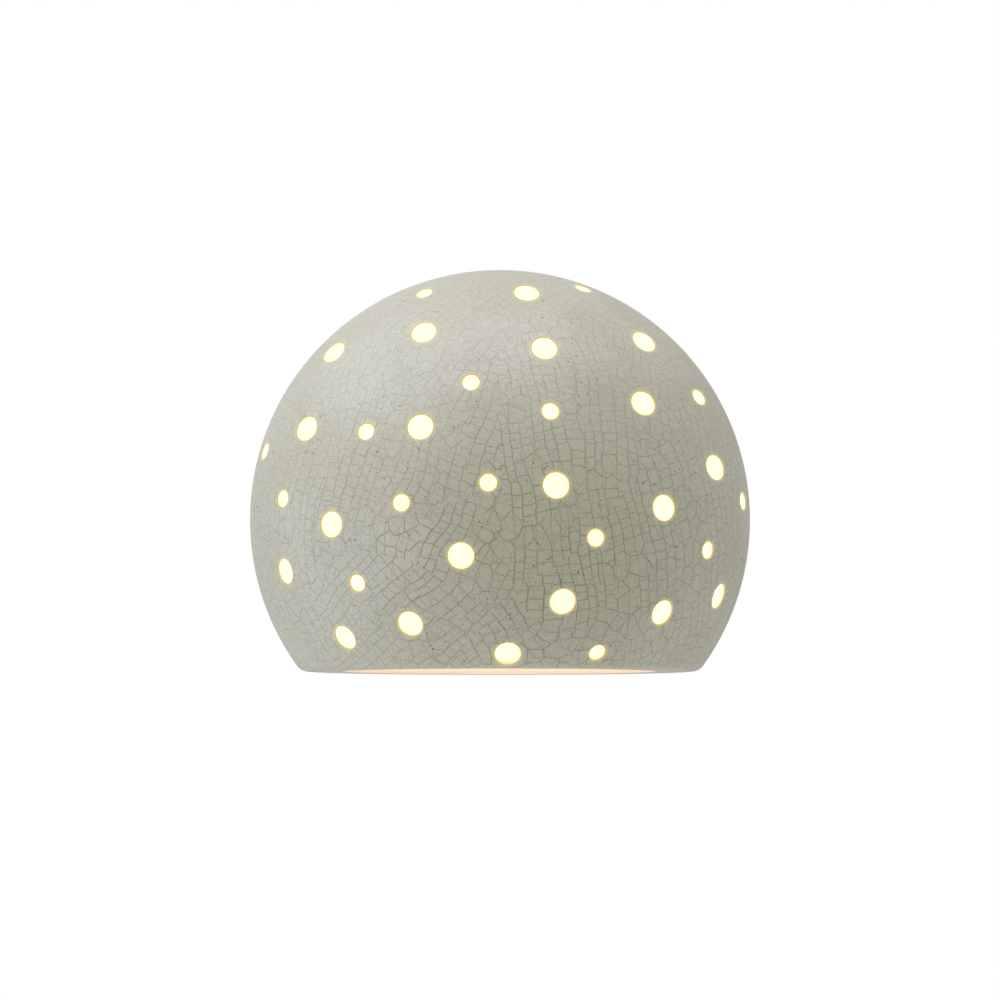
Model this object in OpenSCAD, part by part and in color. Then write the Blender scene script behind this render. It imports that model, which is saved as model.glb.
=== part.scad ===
// Ceramic globe wall light: a crackle-glazed, pierced globe that is open underneath,
// clamped to the wall by an enamelled pan which carries a porcelain lampholder and its lamp.
// Units are millimetres. The wall is the plane y = 0, the light stands out along -Y and +Z is up.
// The origin is the centre of the wall box's screw pattern.

/* [Globe] */
// Outside radius of the globe
globe_r = 125; // [122:1:128]
// Thickness of the fired clay
wall = 6; // [5:0.5:6.5]
// From the globe's centre down to its flat underside
bottom_drop = 76; // [74:0.5:78]
// From the globe's centre back to the wall
back_reach = 108; // [106:0.5:110]
// Radius of the soft outer corner round the underside
corner_r = 6.5; // [4:0.5:7]
// Radius of the round mouth in the underside
mouth_r = 77; // [76:1:84]
// Radius of the round opening in the flat back
back_hole_r = 51; // [50:0.5:52]

/* [Perforations] */
// Diameter of the large perforations
large_d = 12.7; // [11:0.1:13.5]
// Diameter of the small perforations
small_d = 8.6; // [7:0.1:9]
// Most that a hole's cutter leans from square to the clay, towards the front or the back, in degrees
lean_most = 50; // [0:1:50]
// Angle round the back axis that stays clear of holes, in degrees
back_clear = 37; // [36:1:45]

/* [Fixings] */
// Radius of the round mounting plate
plate_r = 48.5; // [47:0.5:49]
// Thickness of the mounting plate
plate_t = 2; // [1.5:0.1:2.5]
// Centre-to-centre distance of the two slots for the wall box's screws
slot_spacing = 79.4; // [79:0.1:80]
// End-to-end length of each slot
slot_length = 14; // [13:0.5:14.5]
// Width of each slot
slot_width = 4.6; // [4.4:0.1:5]
// Height of each stud above or below the centre
stud_offset = 34; // [33:0.5:35]
// Diameter of the studs
stud_d = 4.1; // [4:0.1:4.2]
// How far the studs stand out from the wall
stud_reach = 38; // [36:1:39]

/* [Lamp] */
// Radius of the round part of the bulb
bulb_r = 30; // [28:0.5:31]
// Length of the bulb, from its contact to its crown
bulb_length = 108; // [104:1:112]
// Outside radius of the bulb's screw cap
cap_r = 12.95; // [12.8:0.05:13]

/* [Hidden] */
$fn = 96;
gap = 0.1;             // overshoot of a cutter past the face that it cuts

// Where the perforations are on the globe's skin: [angle round from the front, angle up], in degrees.
// The potter's template covers the front half, and is used again half a turn round for the back.
large_holes = [
    [11, 57.5], [-23, 42], [47.5, 41], [-55.5, 38.5], [12, 36.5],
    [36, 23], [-51, 18], [-18, 16.5], [57, 9.5], [12, 3.5],
    [38, -0.5], [-39.5, -4], [-8.5, -11.5], [-58, -13.5], [63.5, -19],
    [14.5, -21.5], [42, -23.5], [-22, -26.5], [-42.5, -29.5], [2, -34]];
small_holes = [
    [46, 63], [-35, 59], [-7, 27], [59.5, 26.5], [11.5, 20],
    [-31.5, 16], [-72.5, 14.5], [-2.5, 4], [72.5, 3], [-56.5, 2.5],
    [-21.5, 0], [21, -7.5], [53.5, -9], [-34, -17], [26, -33.5]];
crown_large = [-140, 80];
crown_small = [100, 77];

// Distances out from the wall
gasket_t = 1.6;
flange_z = wall + gasket_t;          // back of the pan's flange
sheet_t = 1;                         // thickness of the pan's steel
pan_z = 27;                          // back of the pan's front plate
holder_z = pan_z + sheet_t;          // back of the lampholder
holder_h = 38;
recess_h = 8;                        // depth of the lampholder's rear recess
floor_z = holder_z + recess_h + 4;   // seat of the screw shell
mouth_z = holder_z + holder_h;
washer_t = 1;
nut_z = holder_z + washer_t;         // back of the cap nuts
nut_h = 12;
stud_r = stud_d / 2;
thread_play = 0.07;                  // radial play of a thread, drawn as a plain bore

// Radii and places inside the fixture
pan_flange_r = 58;
pan_plate_r = 44;
grommet_hole_r = 7;
holder_screw_x = 16;
earth_at = [-22, -14];
block_x = 20;                        // near face of the terminal block
block_size = [17, 28, 14];
way_pitch = 9;                       // between the three ways of the terminal block
way_z = 19.5;
way_ys = [-way_pitch, 0, way_pitch];
lead_r = 1;
contact_z = floor_z + 3.2;           // where the bulb's contact rests

// Turns a shape drawn upright so that its +Z points out of the wall and its +Y points up.
module outward() rotate([90, 0, 0]) children();

// Unit vector from the globe's centre to p = [angle round from the front, angle up].
function aim(p) = [sin(p[0]) * cos(p[1]), -cos(p[0]) * cos(p[1]), sin(p[1])];

// How far a cutter at p leans from square to the clay: the higher and the further round, the more.
function lean(p) = min(lean_most, acos(cos(p[0]) * cos(p[1])) * max(0, min(0.8, 0.6 + p[1] / 60)));

module ring(r_out, r_in, h) {
    difference() {
        cylinder(r = r_out, h = h);
        translate([0, 0, -gap]) cylinder(r = r_in, h = h + 2 * gap);
    }
}

// Machine screw whose head sits at z = 0 and whose shank runs along +Z.
module screw(head_r, head_h, shank_r, shank_l) {
    difference() {
        union() {
            translate([0, 0, -head_h]) cylinder(r = head_r, h = head_h);
            translate([0, 0, -gap]) cylinder(r = shank_r, h = shank_l + gap);
        }
        translate([-head_r - gap, -0.4, -head_h - gap]) cube([2 * (head_r + gap), 0.8, 1 + gap]);
    }
}

// ---------------------------------------------------------------- globe

// Half outline of the globe with its flat underside and soft corner.
module globe_outline() {
    centre_x = sqrt(pow(globe_r - corner_r, 2) - pow(bottom_drop - corner_r, 2));
    centre_y = corner_r - bottom_drop;
    touch_y = centre_y * globe_r / (globe_r - corner_r);
    intersection() {
        circle(r = globe_r);
        translate([0, touch_y]) square([globe_r + 1, 2 * globe_r]);
    }
    translate([centre_x, centre_y]) circle(r = corner_r);
    translate([0, -bottom_drop]) square([centre_x, corner_r]);
}

// Angle between the direction of a hole and the axis of the flat back.
function off_back(az, el) = acos(-cos(el) * cos(az));

// A round cutter pushed through the clay at p, tilt degrees flatter than square to it.
module punch(p, d, tilt) translate(globe_r * aim(p)) rotate(a = tilt, v = cross(aim(p), [0, -1, 0]))
    rotate([0, 0, p[0]]) rotate([90 - p[1], 0, 0]) translate([0, 0, -4 * wall]) cylinder(d = d, h = 6 * wall);

module perforations() {
    for (turn = [0, 180]) rotate([0, 0, turn]) {
        for (p = large_holes) if (off_back(p[0] + turn, p[1]) > back_clear) punch(p, large_d, lean(p));
        for (p = small_holes) if (off_back(p[0] + turn, p[1]) > back_clear) punch(p, small_d, lean(p));
    }
    punch(crown_large, large_d, 0);
    punch(crown_small, small_d, 0);
}

// Slip-cast stoneware globe: one piece, glazed outside, bare inside.
module globe_shade() color([0.75, 0.74, 0.68]) {
    translate([0, -back_reach, 0]) difference() {
        rotate_extrude() globe_outline();
        intersection() {
            sphere(r = globe_r - wall);
            translate([-globe_r, -globe_r, wall - bottom_drop])
                cube([2 * globe_r, globe_r + back_reach - wall, 2 * globe_r]);
        }
        translate([0, 0, -bottom_drop - gap]) cylinder(r = mouth_r, h = 2 * wall);
        translate([-globe_r, back_reach, -globe_r]) cube(2 * globe_r);
        translate([0, back_reach + gap, 0]) outward() cylinder(r = back_hole_r, h = 2 * wall);
        perforations();
    }
}

// Silicone ring that cushions the clay against the pan's flange.
module shade_gasket() color([0.85, 0.85, 0.83])
    outward() translate([0, 0, wall]) ring(pan_flange_r, back_hole_r + 0.5, gasket_t);

// ---------------------------------------------------------------- wall fixings

module slot_cutter() {
    straight = (slot_length - slot_width) / 2;
    for (side = [-1, 1])
        translate([side * straight, 0, -gap]) cylinder(d = slot_width, h = plate_t + 2 * gap);
    translate([-straight, -slot_width / 2, -gap]) cube([2 * straight, slot_width, plate_t + 2 * gap]);
}

ground_at = [25, -22];

// Zinc-plated steel disc that is screwed to the wall box.
module mounting_plate() color([0.72, 0.72, 0.7]) outward() difference() {
    cylinder(r = plate_r, h = plate_t);
    for (side = [-1, 1]) {
        translate([side * slot_spacing / 2, 0, 0]) slot_cutter();
        translate([0, side * stud_offset, -gap]) cylinder(r = stud_r + 0.05, h = plate_t + 2 * gap);
    }
    translate([0, 0, -gap]) cylinder(r = 16, h = plate_t + 2 * gap);
    translate([ground_at[0], ground_at[1], -gap]) cylinder(r = 2, h = plate_t + 2 * gap);
}

// Threaded rods in the plate, flush with its back.
module mounting_studs() color([0.72, 0.72, 0.7]) outward()
    for (side = [-1, 1]) translate([0, side * stud_offset, gap]) {
        cylinder(r = stud_r, h = stud_reach - 0.6 - gap);
        translate([0, 0, stud_reach - 0.6 - gap]) cylinder(r1 = stud_r, r2 = stud_r - 0.5, h = 0.6);
    }

module hex_nut(flats, h, bore_r) difference() {
    cylinder(r = flats / sqrt(3), h = h, $fn = 6);
    translate([0, 0, -gap]) cylinder(r = bore_r, h = h + 2 * gap);
}

module stud_locknuts() color([0.72, 0.72, 0.7]) outward()
    for (side = [-1, 1]) translate([0, side * stud_offset, plate_t]) hex_nut(8.7, 3.2, stud_r + 0.05);

// Green screw for the wall box's earth wire.
module ground_screw() color([0.1, 0.45, 0.2]) outward()
    translate([ground_at[0], ground_at[1], plate_t]) mirror([0, 0, 1]) screw(4.2, 2.2, 1.95, plate_t - gap);

// Round washers under the cap nuts.
module upper_washer() color([0.8, 0.62, 0.3])
    outward() translate([0, stud_offset, holder_z]) ring(6.3, 2.2, washer_t);

module lower_washer() color([0.8, 0.62, 0.3])
    outward() translate([0, -stud_offset, holder_z]) ring(6.3, 2.2, washer_t);

// Knurled cap nut, closed at its outer end.
module cap_nut() difference() {
    union() {
        cylinder(r = 5.6, h = nut_h - 1);
        translate([0, 0, 1.2]) cylinder(r = 6.5, h = nut_h - 4.2);
        translate([0, 0, nut_h - 1]) cylinder(r1 = 5.6, r2 = 4.4, h = 1);
    }
    translate([0, 0, -gap]) cylinder(r = stud_r + thread_play, h = stud_reach - nut_z + 1.2 + gap);
}

module upper_cap_nut() color([0.8, 0.62, 0.3])
    outward() translate([0, stud_offset, nut_z]) cap_nut();

module lower_cap_nut() color([0.8, 0.62, 0.3])
    outward() translate([0, -stud_offset, nut_z]) cap_nut();

// ---------------------------------------------------------------- pan

// Spun steel pan, white enamelled: a flat flange, a conical wall and a front plate.
module back_pan() color([0.95, 0.94, 0.9]) outward() difference() {
    rotate_extrude() polygon([
        [grommet_hole_r, pan_z], [pan_plate_r - sheet_t, pan_z], [46, flange_z], [pan_flange_r, flange_z],
        [pan_flange_r, flange_z + sheet_t], [47, flange_z + sheet_t], [pan_plate_r, holder_z],
        [grommet_hole_r, holder_z]]);
    for (side = [-1, 1]) {
        translate([0, side * stud_offset, pan_z - gap]) cylinder(r = 2.6, h = sheet_t + 2 * gap);
        translate([side * holder_screw_x, 0, pan_z - gap]) cylinder(r = 2.1, h = sheet_t + 2 * gap);
        translate([block_x + block_size[0] / 2, side * way_pitch / 2, pan_z - gap])
            cylinder(r = 1.6, h = sheet_t + 2 * gap);
    }
    translate([earth_at[0], earth_at[1], pan_z - gap]) cylinder(r = 2, h = sheet_t + 2 * gap);
}

// Rubber bush that lines the wire hole.
module wire_grommet() color([0.12, 0.12, 0.12]) outward() rotate_extrude() polygon([
    [4.2, pan_z - 1.6], [9, pan_z - 1.6], [9, pan_z], [grommet_hole_r - 0.1, pan_z],
    [grommet_hole_r - 0.1, holder_z], [9, holder_z], [9, holder_z + 1.6], [4.2, holder_z + 1.6]]);

// ---------------------------------------------------------------- lampholder

// Glazed porcelain body: rear recess for the terminals, front well for the screw shell.
module lampholder_body() color([0.96, 0.95, 0.92]) outward() difference() {
    rotate_extrude() polygon([
        [0, holder_z], [20, holder_z], [20.6, holder_z + 0.6], [20.6, holder_z + 8], [19, holder_z + 10],
        [18.2, mouth_z - 6], [18.8, mouth_z - 4.6], [18.8, mouth_z - 1], [17.8, mouth_z], [0, mouth_z]]);
    translate([0, 0, holder_z - gap]) cylinder(r = 12, h = recess_h + gap);
    translate([0, 0, floor_z]) cylinder(r = 14.6, h = holder_h);
    translate([0, 0, holder_z]) cylinder(r = 1.6, h = holder_h);
    translate([9.6, 0, holder_z]) cylinder(r = 1.4, h = holder_h);
    for (side = [-1, 1])
        translate([side * holder_screw_x, 0, holder_z - gap]) cylinder(r = 3.1, h = 9 + gap);
}

// Brass bushes moulded into the porcelain for the fixing screws.
module lampholder_inserts() color([0.78, 0.62, 0.32]) outward()
    for (side = [-1, 1]) translate([side * holder_screw_x, 0, holder_z + 0.3]) ring(3.05, 1.97, 8.6);

// Brass screw shell that holds the bulb's cap.
module lampholder_shell() color([0.8, 0.66, 0.36]) outward() difference() {
    translate([0, 0, floor_z]) cylinder(r = 14.3, h = mouth_z - 2 - floor_z);
    translate([0, 0, floor_z + 0.5]) cylinder(r = 13.8, h = holder_h);
    translate([0, 0, floor_z - gap]) cylinder(r = 7.4, h = 1);
    translate([9.6, 0, floor_z - gap]) cylinder(r = 1.4, h = 1);
}

// Springy centre contact: a bent phosphor-bronze strip.
module lampholder_contact() color([0.75, 0.5, 0.28]) outward() difference() {
    translate([0, 2.5, 0]) rotate([90, 0, 0]) linear_extrude(5) polygon([
        [-6, floor_z], [3, floor_z], [5.4, floor_z + 1.2], [4.4, contact_z], [-3, contact_z],
        [-3, contact_z - 0.5], [4, contact_z - 0.5], [4.8, floor_z + 1.4], [2.8, floor_z + 0.5],
        [-6, floor_z + 0.5]]);
    translate([0, 0, floor_z - gap]) cylinder(r = 1.6, h = 0.5 + 2 * gap);
}

// Rivets through the porcelain floor, one to the contact and one to the shell.
module lampholder_rivets() color([0.8, 0.66, 0.36]) outward()
    for (rivet = [[0, 1.5], [9.6, 1.3]]) translate([rivet[0], 0, 0]) {
        translate([0, 0, floor_z - 5.4]) cylinder(r = rivet[1], h = 5.9);
        translate([0, 0, floor_z + 0.5]) cylinder(r = rivet[1] + 0.7, h = 0.6);
        translate([0, 0, floor_z - 5.8]) cylinder(r = rivet[1] + 0.7, h = 0.8);
    }

// Tinned terminal tabs in the rear recess.
module lampholder_tabs() color([0.75, 0.75, 0.72]) outward() {
    tab_z = floor_z - 5;
    difference() {
        union() {
            translate([-9, -2.5, tab_z]) cube([11, 5, 1]);
            translate([-9, -2.5, tab_z - 3]) cube([0.8, 5, 3 + gap]);
        }
        translate([0, 0, tab_z - gap]) cylinder(r = 1.5, h = 1 + 2 * gap);
    }
    difference() {
        union() {
            translate([6.2, -2.5, tab_z]) cube([5, 5, 1]);
            translate([6.2, -2.5, tab_z - 3]) cube([0.8, 5, 3 + gap]);
        }
        translate([9.6, 0, tab_z - gap]) cylinder(r = 1.3, h = 1 + 2 * gap);
    }
}

// Screws from behind the pan into the lampholder, with their spring washers.
module lampholder_screws() color([0.72, 0.72, 0.7]) outward()
    for (side = [-1, 1]) translate([side * holder_screw_x, 0, pan_z - 0.9]) screw(3.4, 2, 1.9, 9.5);

module lampholder_washers() color([0.72, 0.72, 0.7]) outward()
    for (side = [-1, 1]) translate([side * holder_screw_x, 0, pan_z - 0.9]) ring(3.4, 2, 0.9);

// ---------------------------------------------------------------- terminals and leads

// Nylon block with three ways, behind the pan.
module terminal_block() color([0.9, 0.9, 0.86]) outward() {
    mid_x = block_x + block_size[0] / 2;
    difference() {
        translate([block_x, -block_size[1] / 2, pan_z - block_size[2]]) cube(block_size);
        for (y = way_ys) {
            translate([block_x - gap, y, way_z]) rotate([0, 90, 0])
                cylinder(r = 2.5, h = block_size[0] + 2 * gap);
            for (side = [-1, 1])
                translate([mid_x + side * 4, y, pan_z - block_size[2] - gap])
                    cylinder(r = 2.1, h = way_z - (pan_z - block_size[2]) + gap);
        }
        for (side = [-1, 1])
            translate([mid_x, side * way_pitch / 2, pan_z - 8]) cylinder(r = 1.5, h = 8 + gap);
    }
}

module terminal_tubes() color([0.8, 0.66, 0.36]) outward()
    for (y = way_ys) difference() {
        translate([block_x + 1, y, way_z]) rotate([0, 90, 0]) cylinder(r = 2.4, h = block_size[0] - 2);
        translate([block_x, y, way_z]) rotate([0, 90, 0]) cylinder(r = 1.5, h = block_size[0]);
        for (side = [-1, 1])
            translate([block_x + block_size[0] / 2 + side * 4, y, way_z - 3]) cylinder(r = 1.3, h = 3);
    }

module terminal_screws() color([0.72, 0.72, 0.7]) outward()
    for (y = way_ys) for (side = [-1, 1])
        translate([block_x + block_size[0] / 2 + side * 4, y, way_z - 3.4]) screw(1.9, 1.4, 1.25, 2.4);

module terminal_block_screws() color([0.72, 0.72, 0.7]) outward()
    for (side = [-1, 1]) translate([block_x + block_size[0] / 2, side * way_pitch / 2, holder_z])
        mirror([0, 0, 1]) screw(2.8, 1.8, 1.45, 7);

// A tube swept along a list of points: its rings stand square to the path, and its ends are flat.
function unit(v) = v / norm(v);
function along(p, i) =
    i == 0 ? unit(p[1] - p[0]) :
    i == len(p) - 1 ? unit(p[i] - p[i - 1]) : unit(unit(p[i + 1] - p[i]) + unit(p[i] - p[i - 1]));
function smooth(p, n) = [for (i = [0 : len(p) - 2], k = [0 : n - 1]) blend(p, i, k / n), p[len(p) - 1]];
function blend(p, i, t) =
    let (a = p[max(i - 1, 0)], b = p[i], c = p[i + 1], d = p[min(i + 2, len(p) - 1)])
    0.5 * (2 * b + (c - a) * t + (2 * a - 5 * b + 4 * c - d) * t * t + (3 * b - a - 3 * c + d) * t * t * t);

module lead(route) {
    sides = 8;
    path = smooth(route, 4);
    count = len(path);
    points = [for (i = [0 : count - 1])
        let (t = along(path, i), side = unit(cross(t, [0.13, 0.31, 0.94])), up = cross(side, t))
        for (k = [0 : sides - 1])
            path[i] + lead_r * (cos(360 * k / sides) * side + sin(360 * k / sides) * up)];
    walls = [for (i = [0 : count - 2], k = [0 : sides - 1])
        let (next = (k + 1) % sides)
        [i * sides + k, i * sides + next, (i + 1) * sides + next, (i + 1) * sides + k]];
    polyhedron(points, concat([[for (k = [sides - 1 : -1 : 0]) k]], walls,
        [[for (k = [0 : sides - 1]) (count - 1) * sides + k]]));
}

line_route = [[-8.1, 0, 33.2], [-7, 0, 33.2], [-5.4, 0, 32.7], [-4, 0, 31.4], [-2.8, 0, 29.2],
    [-2, 0.2, 26.6], [-1.6, 1.2, 23.8], [0.4, 3.4, 21.4], [4.6, 6.4, 20], [11, 8.6, 19.5], [18, 9, 19.5],
    [26, 9, 19.5]];
neutral_route = [[6.1, 0, 33.2], [5.2, 0, 33.1], [4, 0, 32.2], [2.9, 0, 30.4], [2.2, 0, 28],
    [2.1, -0.1, 25.6], [2.9, -0.2, 22.9], [5.6, -0.1, 20.6], [10, 0, 19.6], [17, 0, 19.5], [26, 0, 19.5]];
earth_route = [[-15.1, -14, 25.6], [-14, -14, 25.6], [-10.6, -14, 24.8], [-6, -13.4, 22.4], [2, -11.6, 20.4],
    [10, -9.6, 19.6], [17, -9, 19.5], [26, -9, 19.5]];

module line_lead() color([0.1, 0.1, 0.1]) outward() lead(line_route);
module neutral_lead() color([0.92, 0.92, 0.9]) outward() lead(neutral_route);
module earth_lead() color([0.2, 0.5, 0.2]) outward() lead(earth_route);

// Ring tag crimped on the earth lead.
module earth_tag() color([0.75, 0.75, 0.72]) outward() translate([earth_at[0], earth_at[1], 0]) {
    difference() {
        union() {
            translate([0, 0, pan_z - 0.8]) cylinder(r = 4, h = 0.8);
            translate([0, -1.5, pan_z - 0.8]) cube([4.6, 3, 0.8]);
            translate([2.6, 0, pan_z - 1.4]) rotate([0, 90, 0]) cylinder(r = 1.4, h = 4.2);
        }
        translate([0, 0, pan_z - 3]) cylinder(r = 2, h = 4);
        translate([-1, -5, pan_z - 4.8]) cube([4.8, 10, 4]);
    }
}

module earth_screw() color([0.72, 0.72, 0.7]) outward()
    translate([earth_at[0], earth_at[1], holder_z]) mirror([0, 0, 1]) screw(3.6, 2, 1.9, 5.4);

module earth_nut() color([0.72, 0.72, 0.7]) outward()
    translate([earth_at[0], earth_at[1], pan_z - 3.2]) hex_nut(6.4, 2.4, 1.95);

// ---------------------------------------------------------------- bulb

crown_z = contact_z + bulb_length;
bulb_z = crown_z - bulb_r;           // centre of the round part
neck_r = 12.3;
neck_z = contact_z + 19;             // where the glass enters the cap
glass_t = 0.8;

function bezier(a, b, c, d, t) =
    pow(1 - t, 3) * a + 3 * pow(1 - t, 2) * t * b + 3 * (1 - t) * t * t * c + t * t * t * d;

// Outline of the bulb, inset by t: a straight neck, a flowing shoulder, then the round crown.
function bulb_outline(t) =
    let (low = -38, r = bulb_r - t, n = 10,
        join = [r * cos(low), bulb_z + r * sin(low)], pull = 16)
    concat([[neck_r - t, neck_z]],
        [for (i = [0 : n - 1]) bezier([neck_r - t, neck_z + 6], [neck_r - t, neck_z + 18],
            join - pull * [-sin(low), cos(low)], join, i / n)],
        [for (i = [0 : n]) let (a = low + (90 - low) * i / n) [max(r * cos(a), 0), bulb_z + r * sin(a)]]);

// Frosted glass envelope, open at the neck.
module bulb_glass() color([1, 0.95, 0.82, 0.9]) outward() rotate_extrude()
    polygon(concat(bulb_outline(0), [for (i = [21 : -1 : 0]) bulb_outline(glass_t)[i]]));

module bulb_cap() color([0.82, 0.8, 0.74]) outward() rotate_extrude() polygon([
    [9.9, contact_z + 5], [10.3, contact_z + 5], [cap_r, contact_z + 7.2], [cap_r, contact_z + 21.6],
    [13.5, contact_z + 24], [13.1, contact_z + 24], [cap_r - 0.45, contact_z + 21.8],
    [cap_r - 0.45, contact_z + 7.5], [9.9, contact_z + 5.4]]);

// Black glass between the cap and its contact.
module bulb_insulator() color([0.08, 0.07, 0.09]) outward() rotate_extrude() polygon([
    [0, contact_z + 1.4], [4.6, contact_z + 1.4], [9.8, contact_z + 4.8],
    [9.8, contact_z + 6], [0, contact_z + 6]]);

module bulb_contact() color([0.7, 0.7, 0.68]) outward() rotate_extrude() polygon([
    [0, contact_z], [2.4, contact_z], [3.6, contact_z + 0.7], [3.6, contact_z + 1.4], [0, contact_z + 1.4]]);

// Glass stem that carries the filament, flared at its foot.
module bulb_stem() color([0.9, 0.92, 0.92, 0.6]) outward() rotate_extrude() polygon([
    [0, neck_z + 1], [10.8, neck_z + 1], [10.8, neck_z + 2], [5, neck_z + 7], [3.4, neck_z + 14],
    [2.8, neck_z + 26], [2, neck_z + 28], [0, neck_z + 28]]);

wire_foot = [1.6, neck_z + 25];
wire_head = [11, bulb_z - 4];

module bulb_support_wires() color([0.6, 0.55, 0.48]) outward()
    for (side = [-1, 1]) {
        run = wire_head - wire_foot;
        translate([side * (wire_foot[0] + 1.6), 0, wire_foot[1] + 3.4])
            rotate([0, side * atan2(run[0] - 1.6, run[1] - 3.4), 0])
                cylinder(r = 0.35, h = norm([run[0] - 1.6, run[1] - 3.4]));
    }

// Tungsten coil, drawn as its outer shape: a shallow arch between the two wires.
module bulb_filament() color([1, 0.8, 0.45]) outward() {
    arch_r = 16;
    half = asin((wire_head[0] - 0.6) / arch_r);
    translate([0, 0, wire_head[1] + 0.9 - arch_r * cos(half)]) rotate([90, 0, 0])
        rotate([0, 0, 90 - half]) rotate_extrude(angle = 2 * half) translate([arch_r, 0]) circle(r = 0.6);
}

globe_shade();
shade_gasket();
mounting_plate();
mounting_studs();
stud_locknuts();
ground_screw();
back_pan();
wire_grommet();
upper_washer();
lower_washer();
upper_cap_nut();
lower_cap_nut();
lampholder_body();
lampholder_shell();
lampholder_contact();
lampholder_rivets();
lampholder_tabs();
lampholder_inserts();
lampholder_screws();
lampholder_washers();
terminal_block();
terminal_tubes();
terminal_screws();
terminal_block_screws();
line_lead();
neutral_lead();
earth_lead();
earth_tag();
earth_screw();
earth_nut();
bulb_glass();
bulb_cap();
bulb_insulator();
bulb_contact();
bulb_stem();
bulb_support_wires();
bulb_filament();
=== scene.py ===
"""Looks of a pierced ceramic globe wall light, made around its CAD frame.

Metres, +Z up. The wall is the plane y = 0 and the light stands out from it along -Y.
"""
import math

import bmesh
import bpy
from mathutils import Matrix, Vector
from mathutils.bvhtree import BVHTree


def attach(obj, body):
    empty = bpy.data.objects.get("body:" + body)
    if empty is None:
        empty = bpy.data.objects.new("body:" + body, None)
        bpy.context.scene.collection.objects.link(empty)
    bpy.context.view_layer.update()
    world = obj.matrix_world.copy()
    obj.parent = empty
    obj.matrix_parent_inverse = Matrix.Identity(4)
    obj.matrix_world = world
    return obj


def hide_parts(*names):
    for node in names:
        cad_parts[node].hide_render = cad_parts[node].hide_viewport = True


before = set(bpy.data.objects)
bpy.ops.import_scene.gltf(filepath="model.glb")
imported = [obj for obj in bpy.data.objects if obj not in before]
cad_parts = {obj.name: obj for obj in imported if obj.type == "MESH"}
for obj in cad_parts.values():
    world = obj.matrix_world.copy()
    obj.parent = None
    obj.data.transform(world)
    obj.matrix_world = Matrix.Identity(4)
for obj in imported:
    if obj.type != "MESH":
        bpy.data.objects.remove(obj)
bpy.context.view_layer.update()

# ---------------------------------------------------------------- camera
# A long lens a metre and a half in front of the globe and a hand's breadth below its middle,
# so the round rim of the underside closes to a thin line.
MM = 0.001
globe_r = 125 * MM
back_reach = 108 * MM
globe_centre = Vector((0, -back_reach, 0))
stand_off = 1.5
eye_drop = 103.25 * MM
aim_rise = 10 * MM
film_width = 36
focal_length = 107.88

lens = bpy.data.cameras.new("camera")
lens.sensor_width = film_width
lens.lens = focal_length
camera = bpy.data.objects.new("camera", lens)
bpy.context.scene.collection.objects.link(camera)
camera.location = globe_centre + Vector((0, -stand_off, -eye_drop))
line_of_sight = globe_centre + Vector((0, 0, aim_rise)) - camera.location
camera.rotation_euler = line_of_sight.to_track_quat("-Z", "Y").to_euler()
bpy.context.scene.camera = camera

# ---------------------------------------------------------------- light
# A plain white studio: one broad soft box overhead, one over the left shoulder, a weaker one low on
# the left, and an even room that is white where nothing stands before it.
scene = bpy.context.scene
scene.view_settings.view_transform = "Standard"
scene.view_settings.look = "None"
box_side = 1.3
box_distance = 1.6
room_white = (1.0, 1.0, 0.972, 1)
room_strength = 0.59


def soft_box(name, direction, watts, tint):
    """Hangs a square area light that faces the globe's centre."""
    light = bpy.data.lights.new(name, "AREA")
    light.shape = "RECTANGLE"
    light.size = box_side
    light.size_y = box_side
    light.energy = watts
    light.color = tint
    hung = bpy.data.objects.new(name, light)
    scene.collection.objects.link(hung)
    aim = Vector(direction).normalized()
    hung.location = globe_centre + aim * box_distance
    hung.rotation_euler = aim.to_track_quat("Z", "Y").to_euler()


soft_box("overhead", (0.0, -0.15, 1.0), 9.0, (0.97, 0.97, 1.12))
soft_box("shoulder", (-0.6, -0.2, 0.8), 9.2, (0.94, 0.97, 1.13))
soft_box("low_left", (-1.0, -0.1, -0.3), 6.3, (0.91, 1.0, 1.28))

room = bpy.data.worlds.new("room")
scene.world = room
room.use_nodes = True
room_tree = room.node_tree
room_tree.nodes.clear()
seen = room_tree.nodes.new("ShaderNodeBackground")
seen.inputs["Color"].default_value = (1, 1, 1, 1)
seen.inputs["Strength"].default_value = 1.0
fill = room_tree.nodes.new("ShaderNodeBackground")
fill.inputs["Color"].default_value = room_white
fill.inputs["Strength"].default_value = room_strength
rays = room_tree.nodes.new("ShaderNodeLightPath")
either = room_tree.nodes.new("ShaderNodeMixShader")
room_out = room_tree.nodes.new("ShaderNodeOutputWorld")
room_tree.links.new(rays.outputs["Is Camera Ray"], either.inputs["Fac"])
room_tree.links.new(fill.outputs[0], either.inputs[1])
room_tree.links.new(seen.outputs[0], either.inputs[2])
room_tree.links.new(either.outputs[0], room_out.inputs["Surface"])

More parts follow.
